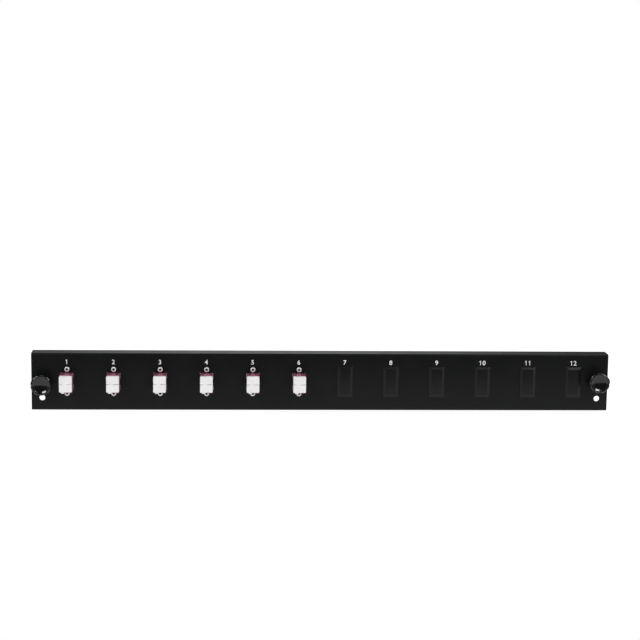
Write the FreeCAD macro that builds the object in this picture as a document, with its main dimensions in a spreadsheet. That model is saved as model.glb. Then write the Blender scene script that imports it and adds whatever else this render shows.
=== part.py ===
# Fibre adapter panel: a folded steel front plate with twelve numbered ports in a row.
# Six ports hold a duplex adapter with its clip, screws, nuts, sleeves and dust caps; six are blanked.
# A push-pull latch stands at each end, with a fixing hole below it.
#
# The origin is the centre of the plate's flat rear face. +X is to the right, +Z is up, and the
# front of the panel looks towards -Y. All sizes are in millimetres.
import FreeCAD, Part
import math
import os
import re
import Sketcher

# Each driving dimension is written once, here, and lives in the sheet under its own name.
SIZES = {
    # Folded front plate
    "plate_width": 426.0,
    "plate_height": 42.5,
    "plate_depth": 13.0,
    "sheet_thickness": 1.5,
    "bend_radius": 0.5,
    # Row of ports
    "adapter_count": 6,
    "blank_count": 6,
    "port_margin": 26.0,
    "port_height": 0.35,
    "cutout_clearance": 0.1,
    # Adapter housing, its flange behind the plate and its two ports
    "housing_width": 9.3,
    "housing_height": 13.0,
    "housing_front": 11.0,
    "housing_rear": 15.0,
    "housing_chamfer": 0.3,
    "flange_height": 22.0,
    "flange_thickness": 2.0,
    "flange_corner": 1.0,
    "port_spacing": 6.25,
    "port_size": 4.6,
    "port_wall": 1.0,
    "latchway_width": 3.0,
    "middle_wall": 1.5,
    # Tubes inside the housing that hold the split sleeves
    "holder_diameter": 2.9,
    "holder_length": 4.0,
    "holder_mouth": 1.35,
    "sleeve_diameter": 1.6,
    "sleeve_bore": 1.25,
    "sleeve_length": 6.8,
    "sleeve_slit": 0.3,
    "sleeve_clearance": 0.05,
    "sleeve_end_play": 0.1,
    # Spring clip round the housing, just in front of the plate
    "clip_width": 3.0,
    "clip_thickness": 0.3,
    "clip_gap": 2.2,
    "clip_lip": 0.5,
    "clip_setback": 0.4,
    "clip_play": 0.05,
    "clip_rail": 0.45,
    "leaf_height": 5.0,
    "leaf_reach": 0.6,
    "leaf_slit": 0.3,
    # Duplex dust cap
    "cap_width": 9.1,
    "cap_height": 11.6,
    "cap_rise": 0.4,
    "cap_depth": 3.8,
    "cap_corner": 0.6,
    "cap_edge": 0.3,
    "cap_slit_reach": 2.6,
    "cap_slit_height": 0.35,
    "tab_width": 4.6,
    "tab_drop": 0.9,
    "tab_thickness": 1.0,
    "stem_length": 9.5,
    "stem_clearance": 0.1,
    "stem_bore_depth": 3.0,
    "holder_clearance": 0.1,
    # Small pan-head screws and hexagon nuts that hold the adapters
    "screw_spacing": 18.0,
    "screw_diameter": 2.0,
    "screw_clearance": 0.2,
    "screw_head_diameter": 4.0,
    "screw_head_height": 1.3,
    "screw_head_chamfer": 0.5,
    "screw_tip": 0.6,
    "cross_span": 2.4,
    "cross_width": 0.55,
    "cross_depth": 0.7,
    "nut_width": 4.0,
    "nut_height": 1.6,
    "thread_clearance": 0.05,
    # Snap-in blank
    "blank_width": 11.5,
    "blank_height": 23.0,
    "blank_thickness": 1.4,
    "blank_edge": 0.4,
    "blank_bevel": 2.0,
    "blank_wall": 1.2,
    "blank_depth": 5.0,
    "snap_reach": 0.6,
    "snap_length": 2.4,
    "snap_play": 0.1,
    "snap_width": 4.0,
    "snap_slot": 1.0,
    # Latches: a split grommet in the plate and a knob on a plunger through it
    "latch_inset": 7.8,
    "latch_height": 1.6,
    "latch_drop": 2.5,
    "grommet_diameter": 7.0,
    "grommet_length": 8.0,
    "grommet_clearance": 0.1,
    "grommet_slot": 1.0,
    "slot_start": 1.5,
    "collar_diameter": 11.2,
    "collar_height": 1.4,
    "collar_chamfer": 0.4,
    "plunger_diameter": 4.0,
    "plunger_clearance": 0.05,
    "plunger_tip": 2.0,
    "plunger_chamfer": 0.8,
    "knob_diameter": 14.6,
    "knob_protrusion": 10.5,
    "knob_rim": 3.6,
    "knob_lip": 0.7,
    "knob_neck": 8.6,
    "knob_taper": 2.0,
    "knob_seat_gap": 0.1,
    "dish_diameter": 12.2,
    "dish_depth": 0.9,
    "dish_slope": 1.6,
    "flute_count": 10,
    "flute_radius": 1.6,
    "flute_depth": 0.35,
    # Fixing holes under the latches
    "fixing_diameter": 4.3,
    "fixing_drop": 12.05,
}

FRONT, REAR = "Front", "Rear"
# The small round pieces that repeat many times, and their own bores, have this many flat sides.
SIDES = 12

doc = FreeCAD.newDocument("AdapterPanel")
sheet = doc.addObject("Spreadsheet::Sheet", "sizes")
for row, (name, number) in enumerate(SIZES.items(), 1):
    sheet.set("A%d" % row, name)
    sheet.set("B%d" % row, str(number))
    sheet.setAlias("B%d" % row, name)
doc.recompute()

# Places that follow from the sizes, as expressions.
PORT_COUNT = "(adapter_count + blank_count)"
PORT_PITCH = "((plate_width - 2 * port_margin) / (%s - 1))" % PORT_COUNT
FIRST_PORT = "(port_margin - plate_width / 2)"
HOUSING_MIDDLE = "((housing_rear - sheet_thickness - housing_front) / 2)"
CUTOUT_WIDTH = "(housing_width + 2 * cutout_clearance)"
CUTOUT_HEIGHT = "(housing_height + 2 * cutout_clearance)"
SCREW_HOLE = "(screw_diameter + 2 * screw_clearance)"
PORT_CENTRE = "(port_wall + port_size / 2 - housing_width / 2)"
LATCH_PLACE = "(plate_width / 2 - latch_inset)"


def bound(text):
    """The expression with each name of a size looked up in the sheet."""
    return re.sub(r"[a-z_]+", lambda word: "sizes." + word.group() if word.group() in SIZES else word.group(), text)


def value(text):
    """The number that an expression gives now."""
    return float(sheet.evalExpression(bound(text)))


def bind(thing, path, text):
    thing.setExpression(path, bound(text))


def new_body(label, x="0", y="0", z="0"):
    body = doc.addObject("PartDesign::Body", label)
    body.Label = label
    for axis, place in (("x", x), ("y", y), ("z", z)):
        bind(body, "Placement.Base." + axis, place)
    return body


def new_sketch(body, role, name, offset="0"):
    """A sketch on one of the body's own planes, moved along that plane's normal by the offset."""
    sketch = body.newObject("Sketcher::SketchObject", name)
    plane = next(f for f in body.Origin.OriginFeatures if f.Role == role)
    sketch.AttachmentSupport = (plane, [""])
    sketch.MapMode = "FlatFace"
    bind(sketch, "AttachmentOffset.Base.z", offset)
    return sketch


def upright_sketch(body, name, y="0"):
    """A sketch parallel to the plate, at the given y. What is padded from it grows towards the front."""
    return new_sketch(body, "XZ_Plane", name, "-(%s)" % y)


def fix_point(sketch, geometry, end, x, y):
    for kind, place in (("DistanceX", x), ("DistanceY", y)):
        rule = sketch.addConstraint(Sketcher.Constraint(kind, -1, 1, geometry, end, value(place)))
        bind(sketch, "Constraints[%d]" % rule, place)


def add_outline(sketch, corners):
    """A closed outline of straight lines through the corners, each an (x, y) pair of expressions."""
    points = [FreeCAD.Vector(value(x), value(y), 0) for x, y in corners]
    lines = []
    for start, end in zip(points, points[1:] + points[:1]):
        lines.append(sketch.addGeometry(Part.LineSegment(start, end)))
    for line, following in zip(lines, lines[1:] + lines[:1]):
        sketch.addConstraint(Sketcher.Constraint("Coincident", line, 2, following, 1))
    for line, (x, y) in zip(lines, corners):
        fix_point(sketch, line, 1, x, y)


def add_rectangle(sketch, width, height, x="0", y="0"):
    left, right = ("%s - %s / 2" % (x, width), "%s + %s / 2" % (x, width))
    low, high = ("%s - %s / 2" % (y, height), "%s + %s / 2" % (y, height))
    add_outline(sketch, [(left, low), (right, low), (right, high), (left, high)])


def add_circle(sketch, diameter, x="0", y="0"):
    centre = FreeCAD.Vector(value(x), value(y), 0)
    circle = sketch.addGeometry(Part.Circle(centre, FreeCAD.Vector(0, 0, 1), value(diameter) / 2))
    fix_point(sketch, circle, 3, x, y)
    rule = sketch.addConstraint(Sketcher.Constraint("Diameter", circle, value(diameter)))
    bind(sketch, "Constraints[%d]" % rule, diameter)
    return circle


def add_polygon(sketch, diameter, x="0", y="0", sides=SIDES):
    """A small round drawn with equal flat sides, its corners on a circle of that diameter."""
    circle = add_circle(sketch, diameter, x, y)
    sketch.toggleConstruction(circle)
    centre, radius = FreeCAD.Vector(value(x), value(y), 0), value(diameter) / 2
    corners = []
    for side in range(sides):
        turn = 2 * math.pi * (side + 0.5) / sides
        corners.append(centre + FreeCAD.Vector(radius * math.cos(turn), radius * math.sin(turn), 0))
    lines = []
    for start, end in zip(corners, corners[1:] + corners[:1]):
        lines.append(sketch.addGeometry(Part.LineSegment(start, end)))
    for line, following in zip(lines, lines[1:] + lines[:1]):
        sketch.addConstraint(Sketcher.Constraint("Coincident", line, 2, following, 1))
        sketch.addConstraint(Sketcher.Constraint("PointOnObject", line, 1, circle))
    for line in lines[1:]:
        sketch.addConstraint(Sketcher.Constraint("Equal", lines[0], line))
    sketch.addConstraint(Sketcher.Constraint("Vertical", lines[-1]))


def pad(body, sketch, length, symmetric=False, reverse=False):
    feature = body.newObject("PartDesign::Pad", sketch.Name + "Pad")
    feature.Profile = sketch
    feature.SideType = "Symmetric" if symmetric else "One side"
    feature.Reversed = reverse
    bind(feature, "Length", length)
    doc.recompute()
    return feature


def pocket(body, sketch, length=None, reverse=False):
    """Cuts the sketch from the body: to a depth, or right through both ways where none is given."""
    before = body.Shape.Volume
    feature = body.newObject("PartDesign::Pocket", sketch.Name + "Pocket")
    feature.Profile = sketch
    if length is None:
        feature.Type = "ThroughAll"
        feature.SideType = "Symmetric"
    else:
        feature.Reversed = reverse
        bind(feature, "Length", length)
    doc.recompute()
    if not feature.Shape.Volume < before:
        raise RuntimeError("%s cuts nothing" % feature.Name)
    return feature


def revolve(body, sketch):
    """Turns a profile drawn right of the sketch's upright axis once round that axis."""
    feature = body.newObject("PartDesign::Revolution", sketch.Name + "Turn")
    feature.Profile = sketch
    feature.ReferenceAxis = (sketch, ["V_Axis"])
    doc.recompute()
    return feature


def dress(body, kind, base, edges, size_name, size):
    feature = body.newObject(kind, base.Name + size_name)
    feature.Base = (base, edges)
    bind(feature, size_name, size)
    doc.recompute()
    return feature


def edges_where(feature, test):
    """Names of the feature's edges whose middle and direction pass the test."""
    names = []
    for number, edge in enumerate(feature.Shape.Edges, 1):
        first, last = edge.firstVertex().Point, edge.lastVertex().Point
        if test(edge, (first + last) / 2, last - first):
            names.append("Edge%d" % number)
    return names


def near(a, b):
    return abs(a - b) < 1e-4


def row_pattern(body, feature, sketch, length, count):
    pattern = body.newObject("PartDesign::LinearPattern", feature.Name + "Row")
    pattern.Originals = [feature]
    pattern.Direction = (sketch, ["H_Axis"])
    bind(pattern, "Length", length)
    bind(pattern, "Occurrences", count)
    body.Tip = pattern
    doc.recompute()
    return pattern


def grid_pattern(body, originals, sketch, count):
    """Copies of the screws or nuts of the first adapter: along the row, and at its other end."""
    pattern = body.newObject("PartDesign::LinearPattern", originals[0].Name + "Grid")
    pattern.Originals = originals
    pattern.Direction = (sketch, ["H_Axis"])
    bind(pattern, "Length", "%s * (%s - 1)" % (PORT_PITCH, count))
    bind(pattern, "Occurrences", count)
    pattern.Direction2 = (sketch, ["V_Axis"])
    bind(pattern, "Length2", "screw_spacing")
    pattern.Occurrences2 = 2
    body.Tip = pattern
    doc.recompute()
    return pattern


def port_place(number):
    return "%s + %d * %s" % (FIRST_PORT, number - 1, PORT_PITCH)


def build_front_plate():
    """One folded sheet: the web with all its holes, and a lip bent back along the top and bottom."""
    body = new_body("front_plate")
    section = new_sketch(body, "YZ_Plane", "PlateSection")
    front, back = "-sheet_thickness", "plate_depth - sheet_thickness"
    edge, inside = "plate_height / 2", "(plate_height / 2 - sheet_thickness)"
    add_outline(section, [
        (front, "-" + edge), (back, "-" + edge), (back, "-" + inside), ("0", "-" + inside),
        ("0", inside), (back, inside), (back, edge), (front, edge)])
    channel = pad(body, section, "plate_width", symmetric=True)

    def along_bend(y, z):
        return lambda edge, middle, run: near(middle.y, y) and near(abs(middle.z), z) and abs(run.x) > 1
    outer = edges_where(channel, along_bend(value(front), value(edge)))
    bends = dress(body, "PartDesign::Fillet", channel, outer, "Radius", "bend_radius + sheet_thickness")
    inner = edges_where(bends, along_bend(0, value(inside)))
    dress(body, "PartDesign::Fillet", bends, inner, "Radius", "bend_radius")

    opening = upright_sketch(body, "PortOpening")
    add_rectangle(opening, CUTOUT_WIDTH, CUTOUT_HEIGHT, FIRST_PORT, "port_height")
    reach = "%s * (%s - 1)" % (PORT_PITCH, PORT_COUNT)
    row_pattern(body, pocket(body, opening), opening, reach, PORT_COUNT)
    holes = upright_sketch(body, "ScrewHoles")
    for side in ("+", "-"):
        add_circle(holes, SCREW_HOLE, FIRST_PORT, "port_height %s screw_spacing / 2" % side)
    row_pattern(body, pocket(body, holes), holes, reach, PORT_COUNT)
    ends = upright_sketch(body, "EndHoles")
    for place, height in (("-" + LATCH_PLACE, "latch_height - latch_drop"), (LATCH_PLACE, "latch_height")):
        add_circle(ends, "grommet_diameter + 2 * grommet_clearance", place, height)
        add_circle(ends, "fixing_diameter", place, "-fixing_drop")
    pocket(body, ends)
    return body


def port_outline(sketch, side):
    """One port seen from the front: a square for the plug, with a way for its latch at the right."""
    centre = "%s port_spacing / 2" % side
    left, right = "port_wall - housing_width / 2", "%s + port_size / 2" % PORT_CENTRE
    end = "housing_width / 2 - port_wall"
    low, high = "%s - port_size / 2" % centre, "%s + port_size / 2" % centre
    way_low, way_high = "%s - latchway_width / 2" % centre, "%s + latchway_width / 2" % centre
    add_outline(sketch, [(left, low), (right, low), (right, way_low), (end, way_low),
                         (end, way_high), (right, way_high), (right, high), (left, high)])


def build_adapter(number):
    """A moulded duplex housing, put through the plate from behind until its flange meets the plate."""
    body = new_body("adapter_%d" % number, port_place(number), "0", "port_height")
    tag = "Adapter%d" % number
    outline = upright_sketch(body, tag + "Outline", "housing_rear")
    add_rectangle(outline, "housing_width", "housing_height")
    block = pad(body, outline, "housing_rear + sheet_thickness + housing_front")
    ends = edges_where(block, lambda edge, middle, run: near(run.y, 0))
    dress(body, "PartDesign::Chamfer", block, ends, "Size", "housing_chamfer")

    flange = upright_sketch(body, tag + "Flange", "flange_thickness")
    add_rectangle(flange, "housing_width", "flange_height")
    ears = pad(body, flange, "flange_thickness")
    tips = edges_where(ears, lambda edge, middle, run: near(abs(middle.z), value("flange_height / 2"))
                       and abs(run.y) > 1e-4)
    dress(body, "PartDesign::Chamfer", ears, tips, "Size", "flange_corner")
    holes = upright_sketch(body, tag + "Holes")
    for side in ("", "-"):
        add_polygon(holes, SCREW_HOLE, "0", side + "screw_spacing / 2")
    pocket(body, holes)

    seat = upright_sketch(body, tag + "ClipSeat", "clip_play - sheet_thickness - clip_setback")
    add_rectangle(seat, "2 * housing_width", "2 * housing_height")
    add_rectangle(seat, "(housing_width - 2 * clip_thickness)", "(housing_height - 2 * clip_thickness)")
    pocket(body, seat, "clip_width + 2 * clip_play", reverse=True)

    middle = {FRONT: "%s - middle_wall / 2" % HOUSING_MIDDLE, REAR: "%s + middle_wall / 2" % HOUSING_MIDDLE}
    tip = {FRONT: middle[FRONT] + " - holder_length", REAR: middle[REAR] + " + holder_length"}
    depth = "(housing_rear + sheet_thickness + housing_front - middle_wall) / 2"
    for end in (FRONT, REAR):
        towards_front = end == FRONT
        mouth = upright_sketch(body, tag + end + "Mouth", tip[end])
        for side in ("", "-"):
            port_outline(mouth, side)
        pocket(body, mouth, depth + " - holder_length", reverse=towards_front)
        ring = upright_sketch(body, tag + end + "Ring", middle[end])
        for side in ("", "-"):
            port_outline(ring, side)
            add_polygon(ring, "holder_diameter", PORT_CENTRE, side + "port_spacing / 2")
        pocket(body, ring, "holder_length", reverse=towards_front)

    # The sleeves lie in a chamber that is a little longer than they are, behind a narrower mouth at each end.
    chamber = upright_sketch(body, tag + "Chamber", "%s + sleeve_length / 2 + sleeve_end_play" % HOUSING_MIDDLE)
    mouths = upright_sketch(body, tag + "Mouths")
    for side in ("", "-"):
        chamber_size = "(sleeve_diameter + 2 * sleeve_clearance)"
        add_polygon(chamber, chamber_size, PORT_CENTRE, side + "port_spacing / 2")
        add_polygon(mouths, "holder_mouth", PORT_CENTRE, side + "port_spacing / 2")
    pocket(body, mouths)
    pocket(body, chamber, "sleeve_length + 2 * sleeve_end_play", reverse=True)
    return body


def build_sleeve(label, number, side):
    """A split ceramic sleeve: a tube with one slit along it."""
    place = "%s + %s" % (port_place(number), PORT_CENTRE)
    body = new_body(label, place, HOUSING_MIDDLE, "port_height %s port_spacing / 2" % side)
    tag = label.title().replace("_", "")
    ring = upright_sketch(body, tag + "Ring", "sleeve_length / 2")
    add_polygon(ring, "sleeve_diameter")
    add_polygon(ring, "sleeve_bore")
    pad(body, ring, "sleeve_length")
    slit = upright_sketch(body, tag + "Slit")
    add_rectangle(slit, "sleeve_diameter", "sleeve_slit", "sleeve_diameter / 2")
    pocket(body, slit)
    return body


def build_clip(number):
    """A band of spring steel in the housing's seat, open at the top, with a leaf sprung out each side."""
    near_edge = "-(sheet_thickness + clip_setback)"
    body = new_body("adapter_clip_%d" % number, port_place(number), near_edge, "port_height")
    tag = "Clip%d" % number
    wide, tall = "housing_width / 2", "housing_height / 2"
    in_wide, in_tall = "(housing_width / 2 - clip_thickness)", "(housing_height / 2 - clip_thickness)"
    gap, lip_side, lip_top = "clip_gap / 2", "(clip_gap / 2 + clip_thickness)", "(housing_height / 2 + clip_lip)"
    band = upright_sketch(body, tag + "Band")
    add_outline(band, [
        (gap, lip_top), (gap, in_tall), (in_wide, in_tall), (in_wide, "-" + in_tall),
        ("-" + in_wide, "-" + in_tall), ("-" + in_wide, in_tall), ("-" + gap, in_tall), ("-" + gap, lip_top),
        ("-" + lip_side, lip_top), ("-" + lip_side, tall), ("-" + wide, tall), ("-" + wide, "-" + tall),
        (wide, "-" + tall), (wide, tall), (lip_side, tall), (lip_side, lip_top)])
    pad(body, band, "clip_width")
    window = new_sketch(body, "YZ_Plane", tag + "Window")
    add_rectangle(window, "(clip_width - 2 * clip_rail)", "(leaf_height + 2 * leaf_slit)", "-clip_width / 2")
    pocket(body, window)
    leaves = new_sketch(body, "XY_Plane", tag + "Leaves")
    root, tip = "clip_rail - clip_width", "-clip_rail"
    for side in ("", "-"):
        add_outline(leaves, [
            (side + in_wide, root), (side + wide, root), (side + "(%s + leaf_reach)" % wide, tip),
            (side + "(%s + leaf_reach)" % in_wide, tip)])
    pad(body, leaves, "leaf_height", symmetric=True)
    return body


def build_cap(label, number, end):
    """A duplex dust cap: one head that covers the housing's end, and a stem in each port."""
    place = {FRONT: "-(sheet_thickness + housing_front)", REAR: "housing_rear"}
    body = new_body(label, port_place(number), place[end], "port_height")
    if end == REAR:
        # The rear cap is the same piece turned half a turn about X, so its tab points up.
        body.Placement.Rotation = FreeCAD.Rotation(FreeCAD.Vector(1, 0, 0), 180)
    tag = label.title().replace("_", "")
    head = upright_sketch(body, tag + "Head")
    add_rectangle(head, "cap_width", "cap_height", "0", "cap_rise")
    block = pad(body, head, "cap_depth")
    corners = edges_where(block, lambda edge, middle, run: abs(run.y) > 1e-4)
    blunt = dress(body, "PartDesign::Chamfer", block, corners, "Size", "cap_corner")
    rim = edges_where(blunt, lambda edge, middle, run: near(middle.y, -value("cap_depth")))
    dress(body, "PartDesign::Chamfer", blunt, rim, "Size", "cap_edge")
    slits = upright_sketch(body, tag + "Slits")
    for side in ("", "-"):
        add_rectangle(slits, "(2 * cap_slit_reach)", "cap_slit_height", side + "cap_width / 2")
    pocket(body, slits)
    tab = upright_sketch(body, tag + "Tab", "tab_thickness - cap_depth + cap_edge")
    add_rectangle(tab, "tab_width", "(2 * tab_drop)", "0", "cap_rise - cap_height / 2")
    pad(body, tab, "tab_thickness")
    stems = upright_sketch(body, tag + "Stems")
    bores = upright_sketch(body, tag + "Bores", "stem_length")
    for side in ("", "-"):
        height = side + "port_spacing / 2"
        stem_size = "(port_size - 2 * stem_clearance)"
        bore_size = "(holder_diameter + 2 * holder_clearance)"
        add_rectangle(stems, stem_size, stem_size, PORT_CENTRE, height)
        add_rectangle(bores, bore_size, bore_size, PORT_CENTRE, height)
    pad(body, stems, "stem_length", reverse=True)
    pocket(body, bores, "stem_bore_depth", reverse=True)
    return body


def build_screws():
    """All the pan-head screws: a shank, a head with a chamfered rim, a cross sunk in the head."""
    height = "port_height - screw_spacing / 2"
    body = new_body("adapter_screws", FIRST_PORT, "-sheet_thickness", height)
    reach = "(sheet_thickness + flange_thickness + nut_height + screw_tip)"
    shank = upright_sketch(body, "ScrewShank", reach)
    add_polygon(shank, "screw_diameter")
    rod = pad(body, shank, reach)
    head = upright_sketch(body, "ScrewHead")
    add_polygon(head, "screw_head_diameter")
    disc = pad(body, head, "screw_head_height")
    rim = edges_where(disc, lambda edge, middle, run: near(middle.y, -value("screw_head_height")))
    dome = dress(body, "PartDesign::Chamfer", disc, rim, "Size", "screw_head_chamfer")
    cross = upright_sketch(body, "ScrewCross", "-screw_head_height")
    out, arm = "cross_span / 2", "cross_width / 2"
    add_outline(cross, [
        (out, "-" + arm), (out, arm), (arm, arm), (arm, out), ("-" + arm, out), ("-" + arm, arm),
        ("-" + out, arm), ("-" + out, "-" + arm), ("-" + arm, "-" + arm), ("-" + arm, "-" + out),
        (arm, "-" + out), (arm, "-" + arm)])
    recess = pocket(body, cross, "cross_depth")
    grid_pattern(body, [rod, disc, dome, recess], cross, "adapter_count")
    return body


def build_nuts():
    """All the hexagon nuts, against the rear of the adapters' flanges."""
    body = new_body("adapter_nuts", FIRST_PORT, "flange_thickness", "port_height - screw_spacing / 2")
    hexagon = upright_sketch(body, "NutOutline", "nut_height")
    half, corner = "nut_width / 2", "nut_width / sqrt(3)"
    add_outline(hexagon, [
        (half, corner + " / 2"), ("0", corner), ("-" + half, corner + " / 2"),
        ("-" + half, "-" + corner + " / 2"), ("0", "-" + corner), (half, "-" + corner + " / 2")])
    add_polygon(hexagon, "(screw_diameter + 2 * thread_clearance)")
    grid_pattern(body, [pad(body, hexagon, "nut_height")], hexagon, "adapter_count")
    return body


def build_blank(number):
    """A moulded cover: a face with a wide bevel, and behind it a frame with two snap tongues."""
    body = new_body("blank_%d" % number, port_place(number), "0", "port_height")
    tag = "Blank%d" % number
    face = upright_sketch(body, tag + "Face", "-sheet_thickness")
    add_rectangle(face, "blank_width", "blank_height")
    pad(body, face, "blank_thickness")
    front, start = "-(sheet_thickness + blank_thickness)", "-(sheet_thickness + blank_edge)"
    ends = new_sketch(body, "YZ_Plane", tag + "EndBevels")
    sides = new_sketch(body, "XY_Plane", tag + "SideBevels")
    for side in ("", "-"):
        edge, inside = side + "blank_height / 2", side + "(blank_height / 2 - blank_bevel)"
        add_outline(ends, [(front, inside), (front, edge), (start, edge)])
        edge, inside = side + "blank_width / 2", side + "(blank_width / 2 - blank_bevel)"
        add_outline(sides, [(inside, front), (edge, front), (edge, start)])
    pocket(body, ends)
    pocket(body, sides)
    frame = upright_sketch(body, tag + "Frame", "blank_depth")
    add_rectangle(frame, "housing_width", "housing_height")
    add_rectangle(frame, "(housing_width - 2 * blank_wall)", "(housing_height - 2 * blank_wall)")
    pad(body, frame, "blank_depth + sheet_thickness")
    slots = new_sketch(body, "XY_Plane", tag + "Slots")
    for side in ("", "-"):
        place = side + "(snap_width + snap_slot) / 2"
        add_rectangle(slots, "snap_slot", "(2 * blank_depth)", place, "blank_depth")
    pocket(body, slots)
    snaps = new_sketch(body, "YZ_Plane", tag + "Snaps")
    wall, hook = "housing_height / 2", "(%s / 2 + snap_reach)" % CUTOUT_HEIGHT
    for side in ("", "-"):
        add_outline(snaps, [
            ("snap_play", side + wall), ("snap_play", side + hook), ("snap_play + snap_length", side + wall)])
    pad(body, snaps, "snap_width", symmetric=True)
    return body


def build_grommet(side, place, height):
    """The latch's sleeve: a collar in front of the plate and a barrel behind it, split in four."""
    body = new_body("latch_grommet_" + side, place, "0", height)
    tag = "Grommet" + side.title()
    bore, barrel = "plunger_diameter / 2 + plunger_clearance", "grommet_diameter / 2"
    collar, plate_front = "collar_diameter / 2", "-sheet_thickness"
    profile = new_sketch(body, "XY_Plane", tag + "Profile")
    add_outline(profile, [
        (bore, "grommet_length"), (barrel, "grommet_length"), (barrel, plate_front), (collar, plate_front),
        (collar, plate_front + " - collar_height + collar_chamfer"),
        (collar + " - collar_chamfer", plate_front + " - collar_height"), (bore, plate_front + " - collar_height")])
    revolve(body, profile)
    for plane in ("XY_Plane", "YZ_Plane"):
        slot = new_sketch(body, plane, tag + plane[:2] + "Slot")
        length, middle = "grommet_length", "slot_start + grommet_length / 2"
        if plane == "XY_Plane":
            add_rectangle(slot, "grommet_slot", length, "0", middle)
        else:
            add_rectangle(slot, length, "grommet_slot", middle, "0")
        pocket(body, slot)
    return body


def build_knob(side, place, height):
    """The latch's knob and its plunger, turned in one: a dished face, a fluted rim, a waist, a shaft."""
    body = new_body("latch_knob_" + side, place, "0", height)
    tag = "Knob" + side.title()
    face = "-(sheet_thickness + knob_protrusion)"
    seat = "-(sheet_thickness + collar_height + knob_seat_gap)"
    rim, neck, shaft = "knob_diameter / 2", "knob_neck / 2", "plunger_diameter / 2"
    end = "grommet_length + plunger_tip"
    profile = new_sketch(body, "XY_Plane", tag + "Profile")
    add_outline(profile, [
        ("0", face + " + dish_depth"), ("dish_diameter / 2 - dish_slope", face + " + dish_depth"),
        ("dish_diameter / 2", face), (rim + " - knob_lip", face), (rim, face + " + knob_lip"),
        (rim, face + " + knob_rim"), (neck, face + " + knob_rim + knob_taper"),
        (neck, seat), (shaft, seat), (shaft, end + " - plunger_chamfer"),
        (shaft + " - plunger_chamfer", end), ("0", end)])
    revolve(body, profile)
    flute = upright_sketch(body, tag + "Flute", face)
    add_circle(flute, "(2 * flute_radius)", "0", "knob_diameter / 2 + flute_radius - flute_depth")
    cut = pocket(body, flute, "knob_rim")
    flutes = body.newObject("PartDesign::PolarPattern", tag + "Flutes")
    flutes.Originals = [cut]
    flutes.Axis = (flute, ["N_Axis"])
    flutes.Angle = 360
    bind(flutes, "Occurrences", "flute_count")
    body.Tip = flutes
    doc.recompute()
    return body


adapter_count, blank_count = int(value("adapter_count")), int(value("blank_count"))
pieces = [build_front_plate(), build_screws(), build_nuts()]
for number in range(1, adapter_count + 1):
    pieces.append(build_adapter(number))
    pieces.append(build_clip(number))
    pieces.append(build_sleeve("upper_sleeve_%d" % number, number, "+"))
    pieces.append(build_sleeve("lower_sleeve_%d" % number, number, "-"))
    pieces.append(build_cap("front_cap_%d" % number, number, FRONT))
    pieces.append(build_cap("rear_cap_%d" % number, number, REAR))
for number in range(adapter_count + 1, adapter_count + blank_count + 1):
    pieces.append(build_blank(number))
for side, place, height in (("left", "-" + LATCH_PLACE, "latch_height - latch_drop"),
                            ("right", LATCH_PLACE, "latch_height")):
    pieces.append(build_grommet(side, place, height))
    pieces.append(build_knob(side, place, height))

doc.recompute()
for thing in doc.Objects:
    if "Invalid" in thing.State or "Error" in thing.State:
        raise RuntimeError("%s failed" % thing.Name)
os.makedirs("parts", exist_ok=True)
for piece in pieces:
    if piece.Shape.isNull() or not piece.Shape.isValid():
        raise RuntimeError("%s has no valid shape" % piece.Label)
for piece in pieces:
    piece.Shape.exportStep("parts/%s.step" % piece.Label)
    print("%-20s %2d solids %10.2f mm3" % (piece.Label, len(piece.Shape.Solids), piece.Shape.Volume))
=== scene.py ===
# %% [markdown]
# # A fibre adapter panel, dressed for its picture
#
# The real object is a folded steel front plate, powder coated black, with twelve numbered places
# in a row. Six hold a violet duplex adapter under a white dust cap, and six are closed by a black
# blank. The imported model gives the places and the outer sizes. Each piece below is built by hand
# round that frame, as a mesh of its own, so that its edges catch the light as a moulded or folded
# edge does.

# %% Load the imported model
import math

import bpy
from mathutils import Matrix, Vector


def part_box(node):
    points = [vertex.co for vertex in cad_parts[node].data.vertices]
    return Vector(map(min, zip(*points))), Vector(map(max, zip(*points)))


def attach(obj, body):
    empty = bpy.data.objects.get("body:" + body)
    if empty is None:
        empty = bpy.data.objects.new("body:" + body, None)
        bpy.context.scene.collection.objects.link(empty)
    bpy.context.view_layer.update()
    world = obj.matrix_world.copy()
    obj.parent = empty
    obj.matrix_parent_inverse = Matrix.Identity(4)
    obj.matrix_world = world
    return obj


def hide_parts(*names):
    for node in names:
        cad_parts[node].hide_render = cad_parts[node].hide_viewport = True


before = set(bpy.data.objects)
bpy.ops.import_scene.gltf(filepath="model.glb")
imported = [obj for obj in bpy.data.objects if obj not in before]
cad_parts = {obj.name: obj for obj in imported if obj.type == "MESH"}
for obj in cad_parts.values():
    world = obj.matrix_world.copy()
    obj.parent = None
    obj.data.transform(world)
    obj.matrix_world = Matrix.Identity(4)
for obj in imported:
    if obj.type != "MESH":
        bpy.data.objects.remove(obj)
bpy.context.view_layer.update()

MM = 0.001

# %% [markdown]
# The sizes come from the frame wherever the frame can tell them: the middle of each port is the
# middle of its adapter or blank, and the front of the plate is the front of its box. What follows
# from them is then right for any pack of the same panel.

# %% Places read from the frame
ADAPTERS = range(1, 7)
BLANKS = range(7, 13)


def middle_of(node):
    low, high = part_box(node)
    return (low + high) / 2


plate_low, plate_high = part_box("front_plate")
PLATE_FRONT = plate_low.y
port_x = {n: middle_of("adapter_%d" % n).x for n in ADAPTERS}
port_x.update({n: middle_of("blank_%d" % n).x for n in BLANKS})
PORT_Z = middle_of("adapter_1").z
print("ports at x =", [round(x / MM, 1) for x in port_x.values()])

# %% [markdown]
# A few helpers stand for what a hand does with the mouse: clear the selection, select the faces or
# edges at some place, and open the piece for editing. Everything is deselected first, because an
# operator acts on all that is selected.

# %% Selecting and opening a piece


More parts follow.
